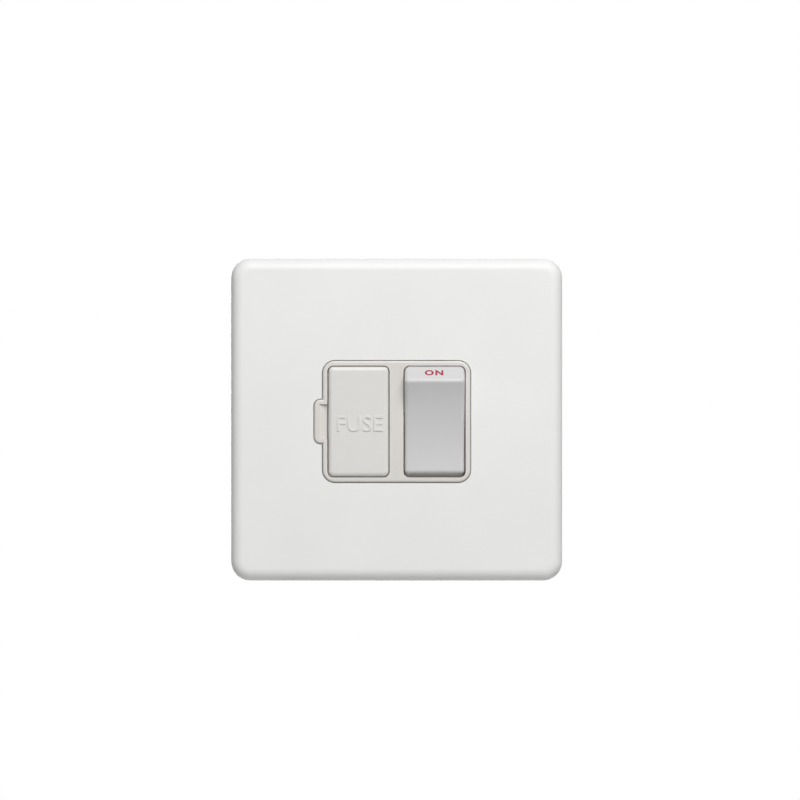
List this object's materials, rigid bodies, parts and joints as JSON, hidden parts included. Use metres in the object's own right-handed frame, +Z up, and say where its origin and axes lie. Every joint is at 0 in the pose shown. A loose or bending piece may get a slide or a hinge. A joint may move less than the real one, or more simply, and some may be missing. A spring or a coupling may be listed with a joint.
{
  "type": "fused spur unit",
  "caption": "Square clip-on wall plate over a switched fused connection unit: a rocker switch beside a pull-out fuse drawer, on a screw-fixed frame with rear terminals.",
  "frame": {"origin": "midway between the two fixing holes, on the wall plane at the back of the support frame", "axes": "+Y into the wall, the front faces -Y, +X to the right seen from the front, +Z up"},
  "size_m": [0.088, 0.0339, 0.0856],
  "materials": {
    "plate_white": "smooth moulded, semi-gloss",
    "frame_white": "matt moulded",
    "bezel_white": "moulded, soft gloss",
    "base_white": "matt moulded",
    "rocker_white": "moulded, soft gloss",
    "drawer_white": "moulded, soft gloss",
    "plunger_nylon": "natural nylon",
    "zinc_steel": "zinc plated",
    "brass_screw": "turned",
    "terminal_brass": "drawn bar, sawn ends",
    "copper_alloy": "stamped strip",
    "spring_bronze": "stamped spring strip",
    "silver_tip": "fine silver, matt",
    "spring_steel": "drawn wire",
    "cap_nickel": "drawn, nickel plated",
    "ceramic": "glazed ceramic tube"
  },
  "bodies": {
    "root": {"front_plate": "plate_white", "support_frame": "frame_white", "front_moulding": "bezel_white", "rear_housing": "base_white", "frame_screws": "zinc_steel", "housing_screws": "zinc_steel", "terminal_screws": "brass_screw", "fixed_contact_live": "copper_alloy", "fixed_tip_live": "silver_tip", "fixed_contact_neutral": "copper_alloy", "fixed_tip_neutral": "silver_tip", "live_bracket": "copper_alloy", "neutral_bracket": "copper_alloy", "supply_live_terminal": "terminal_brass", "supply_neutral_terminal": "terminal_brass", "load_live_terminal": "terminal_brass", "load_neutral_terminal": "terminal_brass", "earth_terminal": "terminal_brass", "fuse_clip_upper": "spring_bronze", "fuse_clip_lower": "spring_bronze"},
    "switch": {"rocker": "rocker_white", "plunger_live": "plunger_nylon", "plunger_spring_live": "spring_steel", "plunger_neutral": "plunger_nylon", "plunger_spring_neutral": "spring_steel"},
    "live_bar": {"moving_contact_live": "copper_alloy", "moving_tip_live": "silver_tip"},
    "neutral_bar": {"moving_contact_neutral": "copper_alloy", "moving_tip_neutral": "silver_tip"},
    "drawer": {"fuse_carrier": "drawer_white", "fuse_barrel": "ceramic", "fuse_cap_upper": "cap_nickel", "fuse_cap_lower": "cap_nickel"}
  },
  "joints": [
    {"name": "rocker_tilt", "type": "hinge", "parent": "root", "child": "switch", "pos_m": [0.01008, -0.002, 0], "axis": [1, 0, 0], "range_deg": [-20, 0]},
    {"name": "live_bar_tilt", "type": "hinge", "parent": "root", "child": "live_bar", "pos_m": [0.00602, 0.0082, 0], "axis": [1, 0, 0], "range_deg": [0, 18.1]},
    {"name": "neutral_bar_tilt", "type": "hinge", "parent": "root", "child": "neutral_bar", "pos_m": [0.01413, 0.0082, 0], "axis": [1, 0, 0], "range_deg": [0, 18.1]},
    {"name": "fuse_carrier_slide", "type": "slide", "parent": "root", "child": "drawer", "axis": [0, -1, 0], "range_m": [0, 0.0125]}
  ],
  "couplings": [
    {"joint": "live_bar_tilt", "follows": "rocker_tilt", "ratio": -0.9},
    {"joint": "neutral_bar_tilt", "follows": "rocker_tilt", "ratio": -0.9}
  ]
}
